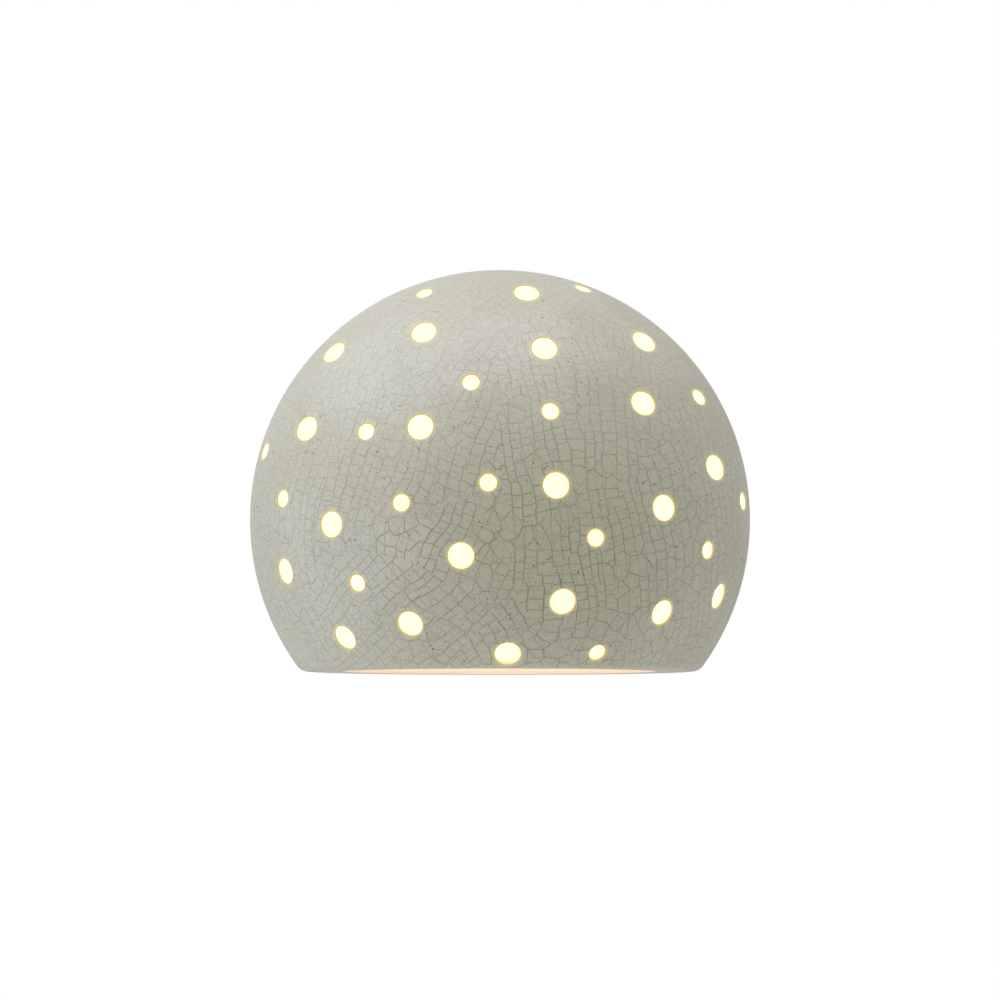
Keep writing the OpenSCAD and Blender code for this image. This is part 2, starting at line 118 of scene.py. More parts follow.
# ---------------------------------------------------------------- globe
# Slip-cast stoneware, 6 mm thick, one piece: glazed outside, bare inside, cut flat behind and below.
# The holes are punched with two round cutters while the clay is soft, and their edges are sponged round.
wall = 6 * MM
bottom_drop = 76 * MM
corner_r = 6.5 * MM
mouth_r = 77 * MM
back_hole_r = 51 * MM
sponged = 0.6 * MM                   # radius of the holes' rounded edges
bead = 0.4 * MM                      # glaze that gathers in a hole, in from the cutter's mark
soft_edge = 0.8 * MM                 # radius of the mouth's and the back's edges
inner_r = globe_r - wall
large_r = 6.35 * MM
small_r = 4.3 * MM
back_clear = 37                      # degrees round the back axis without holes
lean_most = 50                       # degrees that a cutter leans from square to the clay
touching = 0.001 * MM                # points nearer than this are one point
round_steps = 208                    # faces round the globe
back_steps = 144                     # and round the opening behind
ring_points = 48                     # and round each hole
near_hole = 35 * MM                  # faces further than this from a hole's middle are left alone
halo_reach = 2.5 * MM                # how far the glow soaks into the clay beside a hole
halo_search = 20 * MM
GLAZE, LIP, LIT, FOOT = range(4)     # the globe's four surfaces, in the order of its slots

# Angle round from the front and angle up, in degrees; the front's pattern serves again behind.
large_holes = [
    (11, 57.5), (-23, 42), (47.5, 41), (-55.5, 38.5), (12, 36.5),
    (36, 23), (-51, 18), (-18, 16.5), (57, 9.5), (12, 3.5),
    (38, -0.5), (-39.5, -4), (-8.5, -11.5), (-58, -13.5), (63.5, -19),
    (14.5, -21.5), (42, -23.5), (-22, -26.5), (-42.5, -29.5), (2, -34)]
small_holes = [
    (46, 63), (-35, 59), (-7, 27), (59.5, 26.5), (11.5, 20),
    (-31.5, 16), (-72.5, 14.5), (-2.5, 4), (72.5, 3), (-56.5, 2.5),
    (-21.5, 0), (21, -7.5), (53.5, -9), (-34, -17), (26, -33.5)]
crown_holes = [(-140, 80, large_r), (100, 77, small_r)]


def toward(around, up):
    """Unit vector from the globe's centre, around from the front and up, in degrees."""
    a, e = math.radians(around), math.radians(up)
    return Vector((math.sin(a) * math.cos(e), -math.cos(a) * math.cos(e), math.sin(e)))


def cutter(around, up):
    """The way out of a hole, which leans to the front: the higher and the further round, the more."""
    aim = toward(around, up)
    front = Vector((0, -1, 0))
    lean = min(lean_most, math.degrees(aim.angle(front)) * max(0, min(0.8, 0.6 + up / 60)))
    return Matrix.Rotation(math.radians(lean), 3, aim.cross(front)) @ aim


# Each hole's place on the skin, the way its cutter points, and its radius.
punched = [(toward(a, e) * globe_r, toward(a, e), r - bead) for a, e, r in crown_holes]
for turn in (0, 180):
    half = Matrix.Rotation(math.radians(turn), 3, "Z")
    for pattern, r in ((large_holes, large_r), (small_holes, small_r)):
        for around, up in pattern:
            spot = half @ toward(around, up) * globe_r
            if math.degrees(spot.angle(Vector((0, 1, 0)))) > back_clear:
                punched.append((spot, half @ cutter(around, up), r - bead))


def off_axis(point, spot, out):
    """Distance of a point from the line through a spot."""
    return (point - spot - out * (point - spot).dot(out)).length


def arc(centre, radius, start, end, steps):
    """Points (x, z) along an arc, from start to end in degrees."""
    angles = [math.radians(start + (end - start) * i / steps) for i in range(steps + 1)]
    return [(centre[0] + radius * math.cos(a), centre[1] + radius * math.sin(a)) for a in angles]


def spread(start, end, steps):
    return [start + (end - start) * i / steps for i in range(1, steps)]


def turned(bm, outline, steps):
    """Spins an outline of (radius, height) points round the Z axis and closes its poles."""
    verts = [bm.verts.new((r, 0, z)) for r, z in outline]
    edges = [bm.edges.new(pair) for pair in zip(verts, verts[1:])]
    bmesh.ops.spin(bm, geom=verts + edges, cent=(0, 0, 0), axis=(0, 0, 1), dvec=(0, 0, 0),
                   angle=math.tau, steps=steps, use_merge=True, use_duplicate=False)
    bmesh.ops.remove_doubles(bm, verts=bm.verts[:], dist=touching)
    bmesh.ops.recalc_face_normals(bm, faces=bm.faces[:])


corner_z = corner_r - bottom_drop
corner_x = math.sqrt((globe_r - corner_r) ** 2 - corner_z ** 2)
corner_turn = math.degrees(math.atan2(corner_z, corner_x))
floor_z = wall - bottom_drop
floor_x = math.sqrt(inner_r ** 2 - floor_z ** 2)
floor_turn = math.degrees(math.atan2(floor_z, floor_x))

outline = arc((0, 0), globe_r, 90, corner_turn, 60)
outline += arc((corner_x, corner_z), corner_r, corner_turn, -90, 7)[1:]
outline += [(x, -bottom_drop) for x in spread(corner_x, mouth_r + soft_edge, 4)]
outline += arc((mouth_r + soft_edge, soft_edge - bottom_drop), soft_edge, -90, -180, 3)
outline += [(mouth_r, z) for z in spread(soft_edge - bottom_drop, floor_z - soft_edge, 4)]
outline += arc((mouth_r + soft_edge, floor_z - soft_edge), soft_edge, 180, 90, 3)
outline += [(x, floor_z) for x in spread(mouth_r + soft_edge, floor_x, 5)]
outline += arc((0, 0), inner_r, floor_turn, 90, 52)
outline[0] = (0, globe_r)
outline[-1] = (0, inner_r)

globe = bmesh.new()
turned(globe, outline, round_steps)


def outside(face):
    """True for the glazed skin, including its soft corner."""
    middle = face.calc_center_median()
    return middle.length > (globe_r + inner_r) / 2 or middle.z < -bottom_drop + touching


for face in globe.faces:
    middle = face.calc_center_median()
    flat_span = math.hypot(middle.x, middle.y) < corner_x
    if middle.z < 10 * touching - bottom_drop and flat_span:
        face.material_index = FOOT
    else:
        face.material_index = GLAZE if outside(face) else LIT

# The back: the skin stops at the wall, the cavity stops 6 mm short of it, and a round opening joins them.
for skin, reach in ((True, back_reach), (False, back_reach - wall)):
    faces = [f for f in globe.faces if outside(f) == skin]
    edges = {e for f in faces for e in f.edges}
    verts = {v for f in faces for v in f.verts}
    bmesh.ops.bisect_plane(globe, geom=[*verts, *edges, *faces], dist=touching, plane_co=(0, reach, 0),
                           plane_no=(0, 1, 0), clear_outer=True)
rims = [e for e in globe.edges if e.is_boundary]
skin_rim = [e for e in rims if e.verts[0].co.y > back_reach - wall / 2]
cavity_rim = [e for e in rims if e.verts[0].co.y < back_reach - wall / 2]
wall_turn = Matrix.Rotation(math.radians(-90), 4, "X")
back_rings = [(back_hole_r + soft_edge, back_reach), (back_hole_r, back_reach - soft_edge),
              (back_hole_r, back_reach - wall + soft_edge), (back_hole_r + soft_edge, back_reach - wall)]
ring_loops = []
for radius, reach in back_rings:
    ring = bmesh.ops.create_circle(globe, segments=back_steps, radius=radius,
                                   matrix=Matrix.Translation((0, reach, 0)) @ wall_turn)["verts"]
    ring_loops.append(list({e for v in ring for e in v.link_edges}))
for first, second in zip(ring_loops, ring_loops[1:]):
    for face in bmesh.ops.bridge_loops(globe, edges=first + second)["faces"]:
        face.material_index = FOOT
for flat_ring, surface in ((skin_rim + ring_loops[0], FOOT), (ring_loops[-1] + cavity_rim, LIT)):
    filled = bmesh.ops.triangle_fill(globe, use_beauty=True, edges=flat_ring, normal=(0, 1, 0))["geom"]
    for face in (part for part in filled if isinstance(part, bmesh.types.BMFace)):
        face.material_index = surface
globe.normal_update()

skins = {}
for side in (True, False):
    one_side = globe.copy()
    wrong = [f for f in one_side.faces if outside(f) != side]
    bmesh.ops.delete(one_side, geom=wrong, context="FACES")
    skins[side] = BVHTree.FromBMesh(one_side)
    one_side.free()

# One sleeve serves every hole. Each row is how far its ring stands out from the hole's wall, how deep it
# lies, whether that depth is from the skin or from the cavity, and the surface that starts there.
rows = [(sponged + 2.6 * MM, 0, True, GLAZE), (sponged + 1.2 * MM, 0, True, GLAZE),
        (sponged + 0.12 * MM, 0, True, LIP)]
rounding = 5
for i in range(rounding + 1):
    a = math.radians(90 * i / rounding)
    rows.append((sponged * (1 - math.sin(a)), sponged * (1 - math.cos(a)), True, LIP))
rows[-1] = (0, sponged, True, LIT)
rows += [(0, 2 * MM, True, LIT), (0, 1.5 * MM, False, LIT)]
for i in range(3):
    a = math.radians(45 * i)
    rows.append((sponged * (1 - math.cos(a)), sponged * (1 - math.sin(a)), False, LIT))
rows.append((sponged + 1.4 * MM, 0, False, LIT))

sleeve_bm = bmesh.new()
ring = bmesh.ops.create_circle(sleeve_bm, segments=ring_points, radius=1)["verts"]
ring_edges = sleeve_bm.edges[:]
for row in range(1, len(rows)):
    grown = bmesh.ops.extrude_edge_only(sleeve_bm, edges=ring_edges)["geom"]
    ring_edges = [g for g in grown if isinstance(g, bmesh.types.BMEdge)]
    for v in (g for g in grown if isinstance(g, bmesh.types.BMVert)):
        v.co.z = row
for face in sleeve_bm.faces:
    face.material_index = rows[round(face.calc_center_median().z - 0.5)][3]
for v in sleeve_bm.verts:
    v.select = True
sleeve = bpy.data.meshes.new("sleeve")
sleeve_bm.to_mesh(sleeve)
sleeve_bm.free()

for v in globe.verts:
    v.select = False
for spot, out, r in punched:
    cut = r + rows[0][0] + 0.5 * MM
    doomed = {f for f in globe.faces
              if (f.calc_center_median() - spot).length < near_hole
              and any(off_axis(v.co, spot, out) < cut for v in f.verts)}
    outer = {f for f in doomed if outside(f)}
    rim = {side: {e for f in part for e in f.edges if any(g not in part for g in e.link_faces)}
           for side, part in ((True, outer), (False, doomed - outer))}
    bmesh.ops.delete(globe, geom=list(doomed), context="FACES")
    globe.from_mesh(sleeve)
    turn = out.to_track_quat("Z", "Y").to_matrix()
    ends = {True: set(), False: set()}
    for v in [v for v in globe.verts if v.select]:
        v.select = False
        row = round(v.co.z)
        stand, depth, from_skin, _ = rows[row]
        spoke = turn @ Vector((v.co.x, v.co.y, 0)) * (r + stand)
        on_skin = skins[True].ray_cast(spot + spoke + out * globe_r, -out)[0]
        if from_skin:
            v.co = on_skin - out * depth
        else:
            v.co = skins[False].ray_cast(on_skin - out * MM, -out)[0] + out * depth
        if row in (0, len(rows) - 1):
            ends[row == 0].update(e for e in v.link_edges if e.is_boundary)
    for side, surface in ((True, GLAZE), (False, LIT)):
        for face in bmesh.ops.bridge_loops(globe, edges=list(rim[side] | ends[side]))["faces"]:
            face.material_index = surface
bmesh.ops.recalc_face_normals(globe, faces=globe.faces[:])

# The glow that soaks through the clay beside each hole: 1 at its edge, 0 a few millimetres off.
halo = globe.verts.layers.float.new("halo")
for v in globe.verts:
    for spot, out, r in punched:
        if (v.co - spot).length < halo_search:
            off = off_axis(v.co, spot, out) - r - sponged
            v[halo] = max(v[halo], min(1.0, 1 - off / halo_reach))
bmesh.ops.translate(globe, verts=globe.verts[:], vec=globe_centre)
for face in globe.faces:
    ground_flat = face.material_index == FOOT and max(abs(face.normal.y), abs(face.normal.z)) > 0.999
    face.smooth = not ground_flat


class Wire:
    """A socket of a finish. Arithmetic on it adds a Math node to that finish."""

    def __init__(self, finish, socket):
        self.finish = finish
        self.socket = socket

    def math(self, operation, first, second=0.0):
        return self.finish.node("ShaderNodeMath", {"operation": operation}, {0: first, 1: second})

    def __add__(self, other):
        return self.math("ADD", self, other)

    def __radd__(self, other):
        return self.math("ADD", other, self)

    def __sub__(self, other):
        return self.math("SUBTRACT", self, other)

    def __rsub__(self, other):
        return self.math("SUBTRACT", other, self)

    def __mul__(self, other):
        return self.math("MULTIPLY", self, other)

    def __rmul__(self, other):
        return self.math("MULTIPLY", other, self)

    def __truediv__(self, other):
        return self.math("DIVIDE", self, other)

    def most(self, other):
        return self.math("MAXIMUM", self, other)

    def fade(self, low, high, start=0.0, end=1.0):
        """Goes smoothly from start at low to end at high, and stays there."""
        return self.finish.node(
            "ShaderNodeMapRange", {"interpolation_type": "SMOOTHSTEP"},
            {"Value": self, "From Min": low, "From Max": high, "To Min": start, "To Max": end})


class Finish:
    """A material in the making."""

    def __init__(self, name):
        self.material = bpy.data.materials.new(name)
        self.material.use_nodes = True
        self.tree = self.material.node_tree
        self.tree.nodes.clear()

    def node(self, kind, settings, sockets, output=0):
        """Adds a node: its settings first, then the value or wire of each socket."""
        made = self.tree.nodes.new(kind)
        for key, value in settings.items():
            if key == "stops":
                while len(made.color_ramp.elements) < len(value):
                    made.color_ramp.elements.new(0.5)
                for stop, (place, shade) in zip(made.color_ramp.elements, value):
                    stop.position = place
                    stop.color = (*shade, 1)
            else:
                setattr(made, key, value)
        for key, value in sockets.items():
            if isinstance(key, int):
                socket = made.inputs[key]
            else:
                socket = next(s for s in made.inputs if s.name == key and s.enabled)
            if isinstance(value, Wire):
                self.tree.links.new(value.socket, socket)
            elif isinstance(value, (tuple, Vector)) and socket.type == "RGBA":
                socket.default_value = (*value[:3], 1)
            else:
                socket.default_value = value
        if isinstance(output, int):
            return Wire(self, made.outputs[output])
        return Wire(self, next(s for s in made.outputs if s.name == output and s.enabled))

    def place(self):
        return self.node("ShaderNodeTexCoord", {}, {}, "Object")

    def mix(self, amount, one, other, blend="MIX"):
        """Mixes two colours."""
        return self.node("ShaderNodeMix", {"data_type": "RGBA", "blend_type": blend},
                         {"Factor": amount, "A": one, "B": other}, "Result")

    def vector(self, operation, first, second=(0, 0, 0), output="Vector"):
        return self.node("ShaderNodeVectorMath", {"operation": operation}, {0: first, 1: second}, output)

    def scaled(self, vector, factor):
        return self.node("ShaderNodeVectorMath", {"operation": "SCALE"},
                         {0: vector, "Scale": factor}, "Vector")

    def noise(self, vector, size, detail=2.0, rough=0.5, output="Fac"):
        """Cloudy noise whose clouds are about size across, in the vector's own unit."""
        return self.node("ShaderNodeTexNoise", {}, {"Vector": vector, "Scale": 1 / size, "Detail": detail,
                                                    "Roughness": rough}, output)

    def axis(self, vector, name):
        return self.node("ShaderNodeSeparateXYZ", {}, {"Vector": vector}, name)

    def bump(self, height, depth, strength):
        """Raises the surface by depth metres where height is 1."""
        return self.node("ShaderNodeBump", {},
                         {"Height": height, "Distance": depth, "Strength": strength}, "Normal")

    def surface(self, sockets):
        """Ends the material in a Principled shader with these sockets."""
        shader = self.node("ShaderNodeBsdfPrincipled", {}, sockets, "BSDF")
        out = self.tree.nodes.new("ShaderNodeOutputMaterial")
        self.tree.links.new(shader.socket, out.inputs["Surface"])
        return self.material


def piece(bm, name, finishes):
    """Makes an object of a finished bmesh, with its materials."""
    mesh = bpy.data.meshes.new(name)
    bm.to_mesh(mesh)
    bm.free()
    for finish in finishes:
        mesh.materials.append(finish)
    made = bpy.data.objects.new(name, mesh)
    scene.collection.objects.link(made)
    return made


def crackle_glaze():
    """Grey-white glaze, crazed all over, with stain in its cracks and iron specks. Sizes are in mm."""
    sway_size, sway_by = 46, 14
    wobble_size, wobble_by = 7, 2.6
    patch_size, young_patch_size = 84, 61
    young_patch_aside = (37, 11, -22)
    column_pitch, rung_pitch = 5.6, 5.4
    net_size, young_net_size = 8.5, 7.5
    speck_size, pepper_size = 5.2, 2.0
    # Painted shade: a darker, greener glaze tone, drawn round a spot low on the front a little right of
    # middle.
    painted_shade_at = (26, -118, -14)
    glaze_low, glaze_high = (0.505, 0.485, 0.375), (0.575, 0.56, 0.455)
    painted_shade_tone = (0.485, 0.470, 0.345)
    stain, iron, rust = (0.16, 0.147, 0.108), (0.10, 0.075, 0.045), (0.13, 0.105, 0.07)
    f = Finish("crackle_glaze")
    from_centre = f.scaled(f.vector("SUBTRACT", f.place(), tuple(globe_centre)), 1 / MM)

    # Long cracks run roughly upright, each patch leaning its own way; short ones cross between them.
    half = (0.5, 0.5, 0.5)
    swaying = f.noise(from_centre, sway_size, 1.0, 0.5, "Color")
    wobbling = f.noise(from_centre, wobble_size, 2.0, 0.6, "Color")
    sway = f.scaled(f.vector("SUBTRACT", swaying, half), sway_by)
    wobble = f.scaled(f.vector("SUBTRACT", wobbling, half), wobble_by)
    bent = f.vector("ADD", f.vector("ADD", from_centre, sway), wobble)

    def patches(size, aside):
        """Places across and along the cracks, in patches that each lean their own way."""
        moved = f.vector("ADD", bent, aside)
        at = f.node("ShaderNodeTexVoronoi", {"voronoi_dimensions": "3D", "feature": "F1"},
                    {"Vector": moved, "Scale": 1 / size}, "Position")
        dice = f.node("ShaderNodeTexWhiteNoise", {"noise_dimensions": "3D"}, {"Vector": at}, "Color")
        upright = f.vector("ADD", (0.12, 0, 1), f.vector("SUBTRACT", dice, half))
        facing = f.vector("NORMALIZE", f.vector("SUBTRACT", at, aside))
        across = f.vector("NORMALIZE", f.vector("CROSS_PRODUCT", upright, facing))
        along = f.vector("CROSS_PRODUCT", facing, across)
        shift = f.node("ShaderNodeTexWhiteNoise", {"noise_dimensions": "3D"}, {"Vector": at}, "Value")
        return (f.vector("DOT_PRODUCT", bent, across, "Value") + shift * 900,
                f.vector("DOT_PRODUCT", bent, along, "Value"))

    def web(places, size):
        """Distance to the nearest thread of a loose net."""
        flat = f.node("ShaderNodeCombineXYZ", {}, {"X": places[0], "Y": places[1], "Z": 0.0}, "Vector")
        return f.node("ShaderNodeTexVoronoi", {"voronoi_dimensions": "2D", "feature": "DISTANCE_TO_EDGE"},
                      {"Vector": flat, "Scale": 1 / size}, "Distance") * size

    def steps(place, pitch, feature, output):
        """Cracks a pitch apart, unevenly, along one line."""
        return f.node("ShaderNodeTexVoronoi", {"voronoi_dimensions": "1D", "feature": feature},
                      {"W": place / pitch, "Scale": 1.0, "Randomness": 0.75}, output)

    u, v = patches(patch_size, (0, 0, 0))
    long_crack = steps(u, column_pitch, "DISTANCE_TO_EDGE", "Distance") * column_pitch
    column = steps(u, column_pitch, "F1", "W")
    drop = f.node("ShaderNodeTexWhiteNoise", {"noise_dimensions": "1D"}, {"W": column}, "Value")
    rung = steps(v + drop * 700, rung_pitch, "DISTANCE_TO_EDGE", "Distance") * rung_pitch

    # Where the glaze is thicker it crazes into a loose net instead, and a finer, younger net lies over all.
    net = web((u, v), net_size)
    young_net = web(patches(young_patch_size, young_patch_aside), young_net_size)
    netted = f.noise(from_centre, 24, 1.0).fade(0.48, 0.56)

    def line(distance, half_width):
        return distance.fade(half_width * 0.25, half_width, 1.0, 0.0)

    strength = f.noise(from_centre, 33, 2.0).fade(0.32, 0.68, 0.8, 1.0)
    cracks = line(long_crack, 0.35) * (1.0 - netted * 0.5)
    cracks = cracks.most(line(rung, 0.31) * (0.86 - netted * 0.55))
    cracks = cracks.most(line(net, 0.33) * netted)
    cracks = cracks.most(line(young_net, 0.28) * 0.5)
    cracks = cracks * strength

    cloud = f.noise(from_centre, 42, 3.0)
    glaze = f.node("ShaderNodeValToRGB", {"stops": [(0.3, glaze_low), (0.7, glaze_high)]},
                   {"Fac": cloud}, "Color")
    grain = f.noise(from_centre, 1.5, 3.0, 0.65).fade(0.25, 0.75, 0.90, 1.08)
    grain_grey = f.node("ShaderNodeCombineColor", {}, {0: grain, 1: grain, 2: grain})
    glaze = f.mix(1.0, glaze, grain_grey, "MULTIPLY")
    # Painted shade: the glaze is drawn darker and greener low on the front, a little right of middle.
    # The cracks are drawn darkest there and low down, and faintest at the crown.
    off_painted_shade = f.vector("DISTANCE", from_centre, painted_shade_at, "Value")
    glaze = f.mix(off_painted_shade.fade(24, 88, 0.75, 0.0), glaze, painted_shade_tone)
    crack_darkness = f.axis(from_centre, "Z").fade(-40, 105, 0.76, 0.43) * off_painted_shade.fade(20, 140, 1.0, 0.62)
    stained = f.mix(cracks * crack_darkness, glaze, stain)

    # Iron specks: one in a cell at most, and of every size down to none.
    speck = {"Vector": from_centre, "Scale": 1 / speck_size, "Randomness": 1.0}
    speck_off = f.node("ShaderNodeTexVoronoi", {}, speck, "Distance") * speck_size
    speck_dice = f.axis(f.node("ShaderNodeTexVoronoi", {}, speck, "Color"), "X")
    speck_r = speck_dice.fade(0.35, 1.0, 0.0, 0.66)
    speck_on = (speck_r - speck_off).fade(-0.05, 0.35)
    coloured = f.mix(speck_on * 0.8, stained, iron)

    # Fine pepper gathers in loose clusters.
    pepper = {"Vector": from_centre, "Scale": 1 / pepper_size, "Randomness": 1.0}
    pepper_off = f.node("ShaderNodeTexVoronoi", {}, pepper, "Distance") * pepper_size
    pepper_dice = f.axis(f.node("ShaderNodeTexVoronoi", {}, pepper, "Color"), "Y")
    gathered = f.noise(from_centre, 19, 2.0).fade(0.44, 0.62, 0.45, 1.0)
    pepper_r = pepper_dice.fade(0.3, 1.0, 0.0, 0.5) * gathered
    coloured = f.mix((pepper_r - pepper_off).fade(-0.04, 0.18) * 0.8, coloured, rust)

    halo_near = f.node("ShaderNodeAttribute", {"attribute_name": "halo"}, {}, "Fac").fade(0.15, 1.0)
    height = 1.0 - cracks
    return f.surface({
        "Base Color": coloured,
        "Roughness": f.noise(from_centre, 9, 2.0).fade(0.3, 0.7, 0.36, 0.48),
        "IOR": 1.5,
        "Emission Color": f.mix(halo_near, (0, 0, 0), (0.06, 0.053, 0.036)),
        "Emission Strength": 1.0,
        "Normal": f.bump(height, 0.05 * MM, 0.5)})


def glowing_lip():
    """Thin glaze on the holes' rounded edges; the lamp shining through it is painted on as a honey glow."""
    f = Finish("glowing_lip")
    tone = f.noise(f.scaled(f.place(), 1 / MM), 2, 2.0)
    gold = f.node("ShaderNodeValToRGB", {"stops": [(0.3, (0.56, 0.40, 0.09)), (0.7, (0.64, 0.47, 0.12))]},
                  {"Fac": tone}, "Color")
    return f.surface({"Base Color": (0.10, 0.08, 0.04), "Roughness": 0.4, "Emission Color": gold,
                      "Emission Strength": 1.0})


def lit_clay():
    """Bare warm-white clay with the lamp's light painted on as a glow, dimmer and rosier towards the mouth.
    """
    f = Finish("lit_clay")
    mm = f.scaled(f.place(), 1 / MM)
    grain = f.noise(mm, 1.2, 4.0, 0.6)
    rise = f.axis(mm, "Z")
    glow = f.node("ShaderNodeValToRGB", {"stops": [
        (0.0, (0.66, 0.44, 0.34)), (0.45, (0.86, 0.70, 0.50)),
        (0.8, (1.0, 0.94, 0.64)), (1.0, (1.05, 1.0, 0.66))]},
        {"Fac": rise.fade(-bottom_drop / MM, 8 - bottom_drop / MM)}, "Color")
    return f.surface({"Base Color": (0.30, 0.26, 0.20), "Roughness": 0.9, "Emission Color": glow,
                      "Emission Strength": 1.0, "Normal": f.bump(grain, 0.08 * MM, 0.6)})


def bare_foot():
    """Unglazed clay where the globe is ground flat."""
    f = Finish("bare_foot")
    mm = f.scaled(f.place(), 1 / MM)
    tone = f.node("ShaderNodeValToRGB", {"stops": [(0.35, (0.50, 0.46, 0.40)), (0.7, (0.62, 0.58, 0.51))]},
                  {"Fac": f.noise(mm, 14, 4.0)}, "Color")
    return f.surface({"Base Color": tone, "Roughness": 0.85,
                      "Normal": f.bump(f.noise(mm, 0.8, 3.0), 0.06 * MM, 0.7)})


shade = piece(globe, "ceramic_globe", [crackle_glaze(), glowing_lip(), lit_clay(), bare_foot()])
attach(shade, "shade_assembly")
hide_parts("globe_shade")

# The skin's shading follows the true sphere, so the reflections run clean past every hole.
bottom_of_sphere = globe_r * math.sin(math.radians(corner_turn))
loop_normals = []
for face in shade.data.polygons:
    for index in face.vertices:
        off = shade.data.vertices[index].co - globe_centre
        true_skin = face.material_index == GLAZE and abs(off.length - globe_r) < 0.03 * MM
        loop_normals.append(off.normalized() if true_skin and off.z > bottom_of_sphere else (0, 0, 0))
shade.data.normals_split_custom_set(loop_normals)

# ---------------------------------------------------------------- gasket, plate and studs
# A zinc-plated steel disc is screwed to the wall box. Two No. 8-32 rods are cut to length, screwed
# through it and locked with nuts; a silicone ring keeps the clay off the pan.
stud_r = 2.05 * MM
stud_root_r = 1.6 * MM
stud_reach = 38 * MM
stud_offset = 34 * MM
stud_pitch = 0.794 * MM
stud_sides = 28
tip_h = 0.6 * MM
tip_r = stud_root_r - 0.4 * MM
outward = Matrix.Rotation(math.radians(90), 4, "X")


def place_outward(bm, across=0.0, up=0.0):
    """Turns a mesh drawn upright so that it stands out from the wall, then slides it over the wall."""
    bmesh.ops.transform(bm, verts=bm.verts[:], matrix=Matrix.Translation((across, 0, up)) @ outward)


def thread(bm, profile, pitch, low, high, sides, capped):
    """Winds one turn's profile of (radius, height) points into a thread, cut square at both ends."""
    turns = math.ceil((high - low) / pitch) + 2
    verts = [bm.verts.new((r, 0, low - 2 * pitch + z)) for r, z in profile]
    edges = [bm.edges.new(pair) for pair in zip(verts, verts[1:])]
    bmesh.ops.spin(bm, geom=verts + edges, cent=(0, 0, 0), axis=(0, 0, 1), dvec=(0, 0, pitch / sides),
                   angle=math.tau * turns, steps=sides * turns, use_merge=False, use_duplicate=False)
    bmesh.ops.remove_doubles(bm, verts=bm.verts[:], dist=0.004 * MM)
    for end, normal in ((low, -1), (high, 1)):
        bmesh.ops.bisect_plane(bm, geom=bm.verts[:] + bm.edges[:] + bm.faces[:], dist=0.0005 * MM,
                               plane_co=(0, 0, end), plane_no=(0, 0, normal), clear_outer=True)
    if capped:
        bmesh.ops.holes_fill(bm, edges=[e for e in bm.edges if e.is_boundary], sides=0)
    bmesh.ops.recalc_face_normals(bm, faces=bm.faces[:])


def lathe(bm, outline, steps):
    """Spins a closed outline of (radius, height) points round the Z axis."""
    verts = [bm.verts.new((r, 0, z)) for r, z in outline]
    edges = [bm.edges.new(pair) for pair in zip(verts, verts[1:] + verts[:1])]
    bmesh.ops.spin(bm, geom=verts + edges, cent=(0, 0, 0), axis=(0, 0, 1), dvec=(0, 0, 0),
                   angle=math.tau, steps=steps, use_merge=True, use_duplicate=False)
    bmesh.ops.remove_doubles(bm, verts=bm.verts[:], dist=0.002 * MM)
    flat = [f for f in bm.faces if f.calc_area() < 1e-14]
    bmesh.ops.delete(bm, geom=flat, context="FACES")
    bmesh.ops.recalc_face_normals(bm, faces=bm.faces[:])


def shaded(made, angle=35):
    """Smooths a piece, but keeps its edges sharper than the angle crisp."""
    for face in made.data.polygons:
        face.use_smooth = True
    made.data.set_sharp_from_angle(angle=math.radians(angle))


def metal(name, dark, light, rough=(0.25, 0.42), cloud=6.0, scratch=0.012):
    """Worked metal: cloudy tarnish, uneven polish and fine handling marks."""
    f = Finish(name)
    mm = f.scaled(f.place(), 1 / MM)
    tarnish = f.noise(mm, cloud, 4.0, 0.6)
    marks = f.noise(f.vector("MULTIPLY", mm, (1, 1, 7)), 1.4, 3.0, 0.6)
    tone = f.node("ShaderNodeValToRGB", {"stops": [(0.3, dark), (0.68, light)]}, {"Fac": tarnish}, "Color")
    return f.surface({"Base Color": tone, "Metallic": 1.0,
                      "Roughness": (tarnish * 0.5 + marks * 0.5).fade(0.3, 0.7, *rough),
                      "Normal": f.bump(marks, scratch * MM, 0.5)})


def dress(finish, *nodes):
    """Gives carried-over CAD nodes their finish."""
    for name in nodes:
        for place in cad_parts[name].material_slots:
            place.material = finish


def silicone():
    """Milky moulded rubber with a dusty bloom."""
    f = Finish("silicone")
    mm = f.scaled(f.place(), 1 / MM)
    bloom = f.noise(mm, 5, 3.0)
    return f.surface({"Base Color": f.mix(bloom, (0.60, 0.60, 0.57), (0.74, 0.74, 0.71)),
                      "Roughness": bloom.fade(0.3, 0.7, 0.5, 0.7), "Normal": f.bump(bloom, 0.03 * MM, 0.5)})


def zinc_steel(name, lamplight=(0, 0, 0)):
    """Bright zinc plating with the faint spangle and blue cast of its passivation."""
    f = Finish(name)
    mm = f.scaled(f.place(), 1 / MM)
    spangle = f.node("ShaderNodeTexVoronoi", {"feature": "F1"}, {"Vector": mm, "Scale": 0.45}, "Color")
    grain = f.noise(mm, 0.9, 4.0, 0.65)
    cast = f.mix(f.noise(mm, 18, 3.0), (0.60, 0.62, 0.65), (0.69, 0.68, 0.63))
    tone = f.mix(f.axis(spangle, "X") * 0.18, cast, (0.80, 0.80, 0.80))
    return f.surface({"Base Color": tone, "Metallic": 1.0, "Roughness": grain.fade(0.3, 0.7, 0.30, 0.46),
                      "Emission Color": lamplight, "Emission Strength": 1.0,
                      "Normal": f.bump(grain, 0.01 * MM, 0.5)})


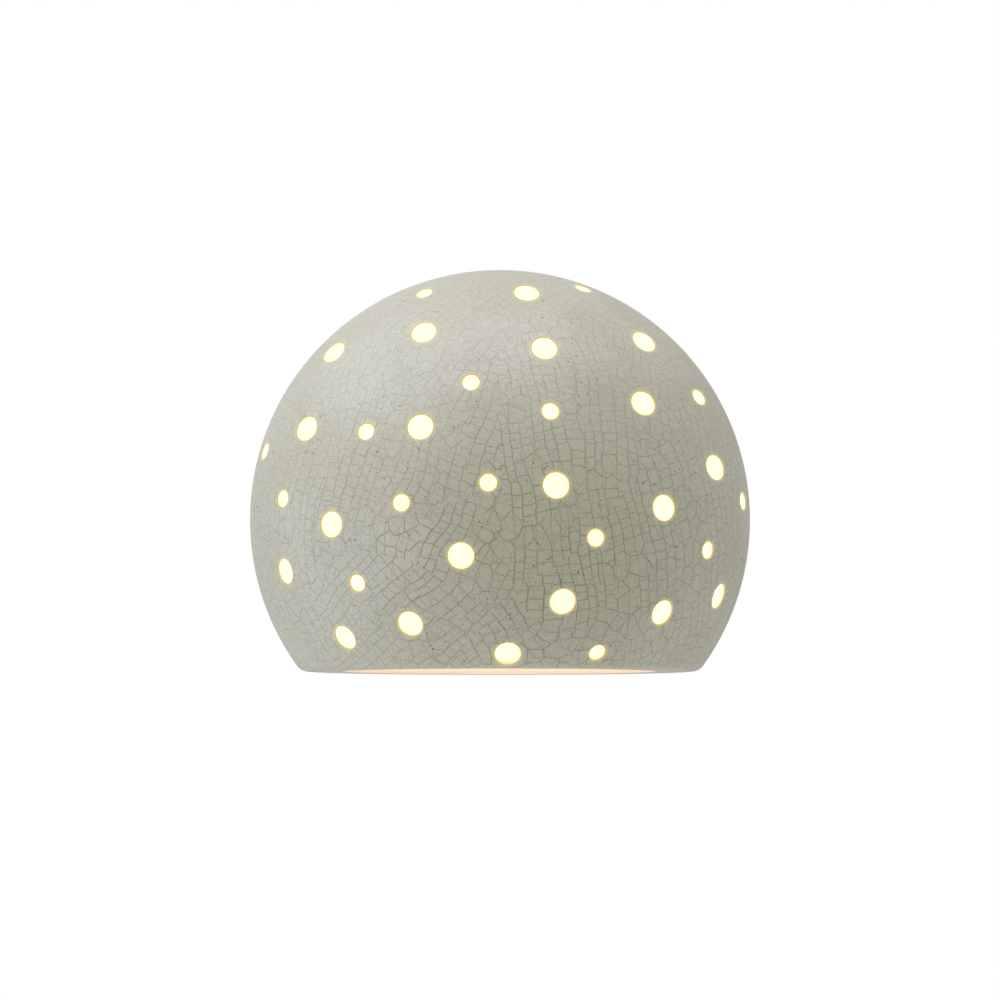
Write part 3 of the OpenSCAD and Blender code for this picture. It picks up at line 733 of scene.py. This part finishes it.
zinc = zinc_steel("zinc_steel")
studs_bm = bmesh.new()
for side in (1, -1):
    rod = bmesh.new()
    profile = [(stud_root_r, 0), (stud_r, 0.44 * stud_pitch), (stud_r, 0.56 * stud_pitch),
               (stud_root_r, stud_pitch)]
    thread(rod, profile, stud_pitch, 0.1 * MM, stud_reach - tip_h, stud_sides, True)
    bmesh.ops.create_cone(rod, cap_ends=True, segments=stud_sides, radius1=stud_root_r, radius2=tip_r,
                          depth=tip_h, matrix=Matrix.Translation((0, 0, stud_reach - tip_h / 2)))
    place_outward(rod, 0, side * stud_offset)
    drawn = bpy.data.meshes.new("rod")
    rod.to_mesh(drawn)
    rod.free()
    studs_bm.from_mesh(drawn)
studs = piece(studs_bm, "threaded_studs", [zinc])
shaded(studs)
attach(studs, "wall_mount")
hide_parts("mounting_studs")
dress(zinc, "mounting_plate", "stud_locknuts", "lampholder_washers", "terminal_screws", "earth_nut")
# These screws get the lamp's light painted on as a warm glow.
dress(zinc_steel("lamplit_zinc", (0.52, 0.44, 0.24)), "lampholder_screws", "terminal_block_screws",
      "earth_screw")
dress(silicone(), "shade_gasket")


def glossy_coat(name, low, high, peel=2.4, rough=(0.16, 0.3), lamplight=(0, 0, 0)):
    """Sprayed and baked enamel with a slight orange peel, faintly uneven in tone, with lamp light painted
    on.
    """
    f = Finish(name)
    mm = f.scaled(f.place(), 1 / MM)
    # Painted lamp light: only the side towards the lamp glows, forwards and away from the axis, not the
    # wiring room.
    lampward = f.vector("ADD", f.vector("NORMALIZE", f.vector("MULTIPLY", mm, (1, 0, 1))), (0, -1, 0))
    facing = f.node("ShaderNodeTexCoord", {}, {}, "Normal")
    lamplit_side = f.vector("DOT_PRODUCT", facing, lampward, "Value").fade(0.0, 0.3)
    return f.surface({"Base Color": f.mix(f.noise(mm, 22, 3.0), low, high),
                      "Roughness": f.noise(mm, 11, 3.0).fade(0.3, 0.7, *rough),
                      "Coat Weight": 0.4, "Coat Roughness": 0.12,
                      "Emission Color": f.mix(lamplit_side, (0, 0, 0), lamplight),
                      "Emission Strength": 1.0,
                      "Normal": f.bump(f.noise(mm, peel, 2.0), 0.02 * MM, 0.5)})


dress(glossy_coat("green_enamel", (0.02, 0.20, 0.06), (0.03, 0.27, 0.09), 1.2), "ground_screw")

# ---------------------------------------------------------------- cap nuts and washers
# Turned brass nuts, closed at the end and diamond-knurled to be run up by hand, each on a plain washer.
holder_z = 28 * MM
washer_t = 1 * MM
nut_z = holder_z + washer_t
nut_h = 12 * MM
nut_r = 6.5 * MM
nut_waist_r = 5.6 * MM
nut_bore_r = stud_r + 0.06 * MM
nut_bore_depth = stud_reach - nut_z + 1.2 * MM
nut_edge = 0.25 * MM
nut_sides = 180
knurl_low = 1.2 * MM
knurl_high = nut_h - 3 * MM
knurl_count = 30
knurl_depth = 0.32 * MM
knurl_lead = 1.36 * MM
knurl_rows = 34

brass = metal("brass", (0.60, 0.42, 0.15), (0.83, 0.64, 0.30), (0.2, 0.36))
for body, node, side in (("upper_nut", "upper_cap_nut", 1), ("lower_nut", "lower_cap_nut", -1)):
    turned_nut = bmesh.new()
    outline = [(nut_bore_r, 0), (nut_waist_r - nut_edge, 0), (nut_waist_r, nut_edge)]
    outline += [(nut_waist_r, knurl_low)]
    outline += [(nut_r, z) for z in [knurl_low] + spread(knurl_low, knurl_high, knurl_rows) + [knurl_high]]
    outline += [(nut_waist_r, knurl_high), (nut_waist_r, nut_h - MM)]
    outline += [(nut_waist_r - MM * t * t * 1.2, nut_h - MM + MM * t) for t in (0.35, 0.7, 1.0)]
    outline += [(0, nut_h), (0, nut_bore_depth), (nut_bore_r, nut_bore_depth)]
    lathe(turned_nut, outline, nut_sides)
    for v in turned_nut.verts:
        if abs(math.hypot(v.co.x, v.co.y) - nut_r) < touching:
            share = math.atan2(v.co.y, v.co.x) / math.tau * knurl_count
            rise = v.co.z / knurl_lead
            groove = max(abs(2 * ((share + rise) % 1) - 1), abs(2 * ((share - rise) % 1) - 1))
            v.co.xy *= 1 - knurl_depth / nut_r * max(0.0, 2 * groove - 1)
    place_outward(turned_nut, 0, side * stud_offset)
    bmesh.ops.translate(turned_nut, verts=turned_nut.verts[:], vec=(0, -nut_z, 0))
    nut = piece(turned_nut, "knurled_" + node, [brass])
    shaded(nut, 30)
    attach(nut, body)
    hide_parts(node)
dress(brass, "upper_washer", "lower_washer", "lampholder_rivets", "lampholder_inserts", "terminal_tubes")

# ---------------------------------------------------------------- pan
# A spun steel pan, white enamelled, carries the lampholder; a rubber bush lines its wire hole.


def black_rubber():
    """Moulded rubber, dull and a little dusty."""
    f = Finish("black_rubber")
    mm = f.scaled(f.place(), 1 / MM)
    dust = f.noise(mm, 3, 3.0)
    return f.surface({"Base Color": f.mix(dust, (0.012, 0.012, 0.012), (0.035, 0.034, 0.032)),
                      "Roughness": dust.fade(0.3, 0.7, 0.55, 0.75), "Normal": f.bump(dust, 0.02 * MM, 0.5)})


dress(glossy_coat("white_enamel", (0.66, 0.64, 0.58), (0.72, 0.71, 0.66), lamplight=(0.58, 0.50, 0.28)),
      "back_pan")
dress(black_rubber(), "wire_grommet")

# ---------------------------------------------------------------- lampholder
# Glazed porcelain, pressed and fired, with a rolled brass shell riveted into its well and a
# springy bronze contact in the middle.
floor_of_well = holder_z + 12 * MM
shell_top = 64 * MM
shell_foot = floor_of_well + 2 * MM
shell_lip = shell_top - 1.5 * MM
cup_t = 0.5 * MM
cup_bore_r = 7.4 * MM
shell_sides = 56
lamp_pitch = 3.6286 * MM
shell_r = 14.25 * MM
shell_wave = 0.8 * MM
sheet = 0.3 * MM


def rolled_profile(crest_r, depth, pitch):
    """One turn of a rolled screw thread: a soft wave."""
    turn = [i / 10 for i in range(11)]
    return [(crest_r - depth * (0.5 - 0.5 * math.cos(math.tau * t)), pitch * t) for t in turn]


def porcelain():
    """White porcelain under clear glaze, with pinholes, a soft unevenness and a painted warm glow of the
    lamp's light.
    """
    f = Finish("porcelain")
    mm = f.scaled(f.place(), 1 / MM)
    pin = f.node("ShaderNodeTexVoronoi", {}, {"Vector": mm, "Scale": 0.4}, "Distance")
    pin = pin.fade(0.03, 0.07, 1.0, 0.0)
    tone = f.mix(f.noise(mm, 12, 3.0), (0.76, 0.75, 0.71), (0.83, 0.82, 0.79))
    return f.surface({"Base Color": f.mix(pin * 0.6, tone, (0.42, 0.38, 0.32)),
                      "Roughness": f.noise(mm, 8, 2.0).fade(0.3, 0.7, 0.1, 0.22), "Coat Weight": 0.5,
                      "Coat Roughness": 0.08, "Emission Color": (0.34, 0.29, 0.16),
                      "Emission Strength": 1.0, "Normal": f.bump(f.noise(mm, 5, 2.0), 0.05 * MM, 0.5)})


dress(porcelain(), "lampholder_body")
bronze = metal("phosphor_bronze", (0.46, 0.24, 0.11), (0.66, 0.38, 0.19), (0.28, 0.42))
tinned = metal("tinned_metal", (0.50, 0.50, 0.48), (0.70, 0.70, 0.67), (0.3, 0.45))
dress(bronze, "lampholder_contact")
dress(tinned, "lampholder_tabs", "earth_tag", "bulb_contact")

shell_bm = bmesh.new()
thread(shell_bm, rolled_profile(shell_r, shell_wave, lamp_pitch), lamp_pitch,
       shell_foot, shell_lip, shell_sides, False)
place_outward(shell_bm)
shell = piece(shell_bm, "threaded_shell", [brass])
rolled = shell.modifiers.new("sheet", "SOLIDIFY")
rolled.thickness = sheet
rolled.offset = -1
shaded(shell)
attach(shell, "shade_assembly")
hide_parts("lampholder_shell")

cup_bm = bmesh.new()
lathe(cup_bm, [(cup_bore_r, floor_of_well), (shell_r, floor_of_well), (shell_r, shell_foot),
               (shell_r - sheet, shell_foot), (shell_r - sheet, floor_of_well + cup_t),
               (cup_bore_r, floor_of_well + cup_t)], shell_sides)
lathe(cup_bm, [(shell_r - sheet, shell_lip), (shell_r, shell_lip),
               (shell_r + 0.05 * MM, shell_top), (shell_r - sheet, shell_top)], shell_sides)
place_outward(cup_bm)
cup = piece(cup_bm, "shell_cup", [brass])
shaded(cup)
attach(cup, "shade_assembly")

# ---------------------------------------------------------------- terminals and leads
# A three-way nylon block takes the supply wires behind the pan, and short flexible leads join it
# to the lampholder and the pan.
lead_r = 1 * MM
lead_sides = 20
lead_steps = 5
# Each lead's way, in mm: across, up, out from the wall.
line_route = [
    (-8.1, 0, 33.2), (-7, 0, 33.2), (-5.4, 0, 32.7), (-4, 0, 31.4), (-2.8, 0, 29.2), (-2, 0.2, 26.6),
    (-1.6, 1.2, 23.8), (0.4, 3.4, 21.4), (4.6, 6.4, 20), (11, 8.6, 19.5), (18, 9, 19.5), (26, 9, 19.5)]
neutral_route = [
    (6.1, 0, 33.2), (5.2, 0, 33.1), (4, 0, 32.2), (2.9, 0, 30.4), (2.2, 0, 28), (2.1, -0.1, 25.6),
    (2.9, -0.2, 22.9), (5.6, -0.1, 20.6), (10, 0, 19.6), (17, 0, 19.5), (26, 0, 19.5)]
earth_route = [
    (-15.1, -14, 25.6), (-14, -14, 25.6), (-10.6, -14, 24.8), (-6, -13.4, 22.4), (2, -11.6, 20.4),
    (10, -9.6, 19.6), (17, -9, 19.5), (26, -9, 19.5)]


def flowing(points, steps):
    """A smooth path through the points."""
    path = []
    for i in range(len(points) - 1):
        a, b = points[max(i - 1, 0)], points[i]
        c, d = points[i + 1], points[min(i + 2, len(points) - 1)]
        for k in range(steps):
            t = k / steps
            path.append(0.5 * (2 * b + (c - a) * t + (2 * a - 5 * b + 4 * c - d) * t ** 2
                               + (3 * b - a - 3 * c + d) * t ** 3))
    return path + [points[-1]]


def tube(bm, path, radius, sides):
    """Draws a round wire along a path, closed at both ends."""
    aim = path[1] - path[0]
    stood = Matrix.Translation(path[0]) @ aim.to_track_quat("Z", "Y").to_matrix().to_4x4()
    first = bmesh.ops.create_circle(bm, cap_ends=True, segments=sides, radius=radius, matrix=stood)["verts"]
    edges = list({e for v in first for e in v.link_edges})
    for i in range(1, len(path)):
        grown = bmesh.ops.extrude_edge_only(bm, edges=edges)["geom"]
        verts = [g for g in grown if isinstance(g, bmesh.types.BMVert)]
        edges = [g for g in grown if isinstance(g, bmesh.types.BMEdge)]
        new_aim = path[min(i + 1, len(path) - 1)] - path[i - 1]
        bmesh.ops.rotate(bm, verts=verts, cent=path[i - 1],
                         matrix=aim.rotation_difference(new_aim).to_matrix())
        bmesh.ops.translate(bm, verts=verts, vec=path[i] - path[i - 1])
        aim = new_aim
    bmesh.ops.contextual_create(bm, geom=edges)
    bmesh.ops.recalc_face_normals(bm, faces=bm.faces[:])


def insulation(name, low, high):
    """Extruded plastic sleeve, satin, with faint draw lines."""
    f = Finish(name)
    mm = f.scaled(f.place(), 1 / MM)
    drawn = f.noise(f.vector("MULTIPLY", mm, (0.3, 2, 2)), 1.0, 3.0)
    return f.surface({"Base Color": f.mix(drawn, low, high), "Roughness": drawn.fade(0.3, 0.7, 0.34, 0.5),
                      "Normal": f.bump(drawn, 0.015 * MM, 0.5)})


def nylon():
    """Translucent-looking moulded nylon, matt and slightly mottled."""
    f = Finish("nylon")
    mm = f.scaled(f.place(), 1 / MM)
    flow = f.noise(mm, 4, 3.0)
    return f.surface({"Base Color": f.mix(flow, (0.70, 0.69, 0.63), (0.80, 0.79, 0.74)),
                      "Roughness": flow.fade(0.3, 0.7, 0.38, 0.52), "Normal": f.bump(flow, 0.02 * MM, 0.5)})


dress(nylon(), "terminal_block")
for node, finish, route, low, high in (
        ("line_lead", "black_insulation", line_route, (0.012, 0.012, 0.012), (0.03, 0.03, 0.03)),
        ("neutral_lead", "white_insulation", neutral_route, (0.66, 0.66, 0.63), (0.76, 0.76, 0.73)),
        ("earth_lead", "green_insulation", earth_route, (0.03, 0.20, 0.04), (0.05, 0.29, 0.07))):
    lead_bm = bmesh.new()
    tube(lead_bm, flowing([Vector(p) * MM for p in route], lead_steps), lead_r, lead_sides)
    place_outward(lead_bm)
    lead = piece(lead_bm, "round_" + node, [insulation(finish, low, high)])
    shaded(lead, 50)
    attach(lead, "shade_assembly")
    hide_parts(node)

# ---------------------------------------------------------------- bulb
# A frosted glass lamp on a rolled screw cap. Its envelope is alight, so it is the brightest thing inside.
contact_z = 43.2 * MM
bulb_r = 30 * MM
bulb_z = 121.2 * MM
neck_r = 12.3 * MM
neck_z = contact_z + 19 * MM
glass_t = 0.8 * MM
crown_low = -38                      # degrees: where the round crown meets the shoulder
bulb_sides = 112
cap_r = 12.95 * MM
cap_wave = 0.6 * MM
cap_root_r = cap_r - cap_wave
cap_sheet = 0.2 * MM
cap_low = contact_z + 7.2 * MM       # where the cap's thread starts and ends
cap_high = contact_z + 21.2 * MM
cap_sides = 56
foot_z = contact_z + 5 * MM          # the collar below the thread, which holds the black glass
foot_r = 9.9 * MM
brim_z = contact_z + 24 * MM         # the collar above it, which grips the neck
brim_r = 13.5 * MM
collar_sides = 72


def envelope(inset):
    """Outline of the glass: a straight neck, a flowing shoulder, then the round crown."""
    low = math.radians(crown_low)
    r = bulb_r - inset
    join = Vector((r * math.cos(low), bulb_z + r * math.sin(low)))
    start = Vector((neck_r - inset, neck_z + 6 * MM))
    pull_out = start + Vector((0, 12 * MM))
    pull_in = join - Vector((-math.sin(low), math.cos(low))) * 16 * MM
    points = [(neck_r - inset, neck_z)]
    for i in range(24):
        t = i / 24
        points.append(tuple(start * (1 - t) ** 3 + pull_out * 3 * (1 - t) ** 2 * t
                            + pull_in * 3 * (1 - t) * t ** 2 + join * t ** 3))
    points += arc((0, bulb_z), r, crown_low, 90, 32)
    points[-1] = (0, bulb_z + r)
    return points


def frosted_glass():
    """Frosted glass with the light behind it, warmer towards the neck."""
    f = Finish("frosted_glass")
    mm = f.scaled(f.place(), 1 / MM)
    frost = f.noise(mm, 1.1, 3.0)
    from_cap = f.axis(mm, "Y").fade(-95, -70)
    glow = f.mix(from_cap, (1.25, 1.08, 0.60), (0.92, 0.74, 0.42))
    return f.surface({"Base Color": f.mix(frost, (0.30, 0.27, 0.20), (0.36, 0.33, 0.26)),
                      "Roughness": frost.fade(0.3, 0.7, 0.45, 0.6), "Emission Color": glow,
                      "Emission Strength": 1.0, "Normal": f.bump(frost, 0.01 * MM, 0.5)})


bulb_bm = bmesh.new()
lathe(bulb_bm, envelope(0) + envelope(glass_t)[::-1], bulb_sides)
place_outward(bulb_bm)
bulb = piece(bulb_bm, "lit_envelope", [frosted_glass()])
shaded(bulb, 50)
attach(bulb, "bulb")
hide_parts("bulb_glass")

cap_metal = metal("cap_metal", (0.58, 0.56, 0.52), (0.78, 0.76, 0.71), (0.22, 0.36))
cap_bm = bmesh.new()
thread(cap_bm, rolled_profile(cap_r, cap_wave, lamp_pitch), lamp_pitch, cap_low, cap_high, cap_sides, False)
place_outward(cap_bm)
cap = piece(cap_bm, "threaded_cap", [cap_metal])
rolled_cap = cap.modifiers.new("sheet", "SOLIDIFY")
rolled_cap.thickness = cap_sheet
rolled_cap.offset = -1
shaded(cap)
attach(cap, "bulb")
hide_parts("bulb_cap")

collar_bm = bmesh.new()
lathe(collar_bm, [(foot_r, foot_z), (foot_r + 0.4 * MM, foot_z), (cap_r, cap_low),
                  (cap_root_r - cap_sheet, cap_low + 0.4 * MM), (foot_r, foot_z + 0.4 * MM)], collar_sides)
lathe(collar_bm, [(cap_root_r - 0.05 * MM, cap_high), (cap_r, cap_high + 0.4 * MM), (brim_r, brim_z),
                  (brim_r - 0.4 * MM, brim_z), (cap_r - 0.45 * MM, cap_high + 0.6 * MM)], collar_sides)
place_outward(collar_bm)
collar = piece(collar_bm, "cap_collars", [cap_metal])
shaded(collar)
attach(collar, "bulb")


def glass(name, low, high, rough):
    """Drawn glass with faint cords in it."""
    f = Finish(name)
    mm = f.scaled(f.place(), 1 / MM)
    cords = f.noise(f.vector("MULTIPLY", mm, (1, 0.25, 1)), 2.0, 2.0)
    return f.surface({"Base Color": f.mix(cords, low, high), "Roughness": cords.fade(0.3, 0.7, *rough),
                      "Normal": f.bump(cords, 0.01 * MM, 0.4)})


dress(glass("black_glass", (0.012, 0.010, 0.014), (0.03, 0.026, 0.034), (0.08, 0.16)), "bulb_insulator")
dress(glass("clear_glass", (0.70, 0.74, 0.74), (0.80, 0.83, 0.83), (0.05, 0.12)), "bulb_stem")
dress(metal("nickel_wire", (0.46, 0.42, 0.36), (0.62, 0.58, 0.51), (0.25, 0.4), 3.0), "bulb_support_wires")


def tungsten():
    """White-hot tungsten wire, a little cooler where the supports draw its heat."""
    f = Finish("tungsten")
    mm = f.scaled(f.place(), 1 / MM)
    heat = f.noise(mm, 3, 2.0)
    return f.surface({"Base Color": (0.25, 0.24, 0.23), "Metallic": 1.0, "Roughness": 0.4,
                      "Emission Color": f.mix(heat, (1.0, 0.72, 0.36), (1.0, 0.86, 0.58)),
                      "Emission Strength": 2.0})


# The coil arches from one support wire to the other.
wire_r = 0.1 * MM
coil_r = 0.48 * MM
coil_turns = 36
turn_points = 12
arch_r = 16 * MM
half_arch = math.asin(10.4 / 16)
arch_z = bulb_z - 4 * MM + 0.9 * MM - arch_r * math.cos(half_arch)
coil = []
for i in range(coil_turns * turn_points + 1):
    swing = half_arch * (2 * i / (coil_turns * turn_points) - 1)
    wind = math.tau * i / turn_points
    reach = arch_r + coil_r * math.cos(wind)
    across, out = reach * math.sin(swing), arch_z + reach * math.cos(swing)
    coil.append(Vector((across, coil_r * math.sin(wind), out)))
filament_bm = bmesh.new()
tube(filament_bm, coil, wire_r, 6)
place_outward(filament_bm)
filament = piece(filament_bm, "coiled_filament", [tungsten()])
shaded(filament, 60)
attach(filament, "bulb")
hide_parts("bulb_filament")

# ---------------------------------------------------------------- floor
# The studio's pale floor, far enough below a light that hangs at head height.
floor_drop = 1.6
floor_r = 6
floor_bm = bmesh.new()
bmesh.ops.create_circle(floor_bm, cap_ends=True, segments=64, radius=floor_r,
                        matrix=Matrix.Translation((0, 0, -floor_drop)))
paint = Finish("studio_floor")
painted = paint.surface({
    "Base Color": paint.mix(paint.noise(paint.place(), 1.5, 2.0), (0.84, 0.84, 0.83), (0.88, 0.88, 0.87)),
    "Roughness": 0.8, "Emission Color": (1, 1, 0.99), "Emission Strength": 0.1})
floor = piece(floor_bm, "studio_floor", [painted])
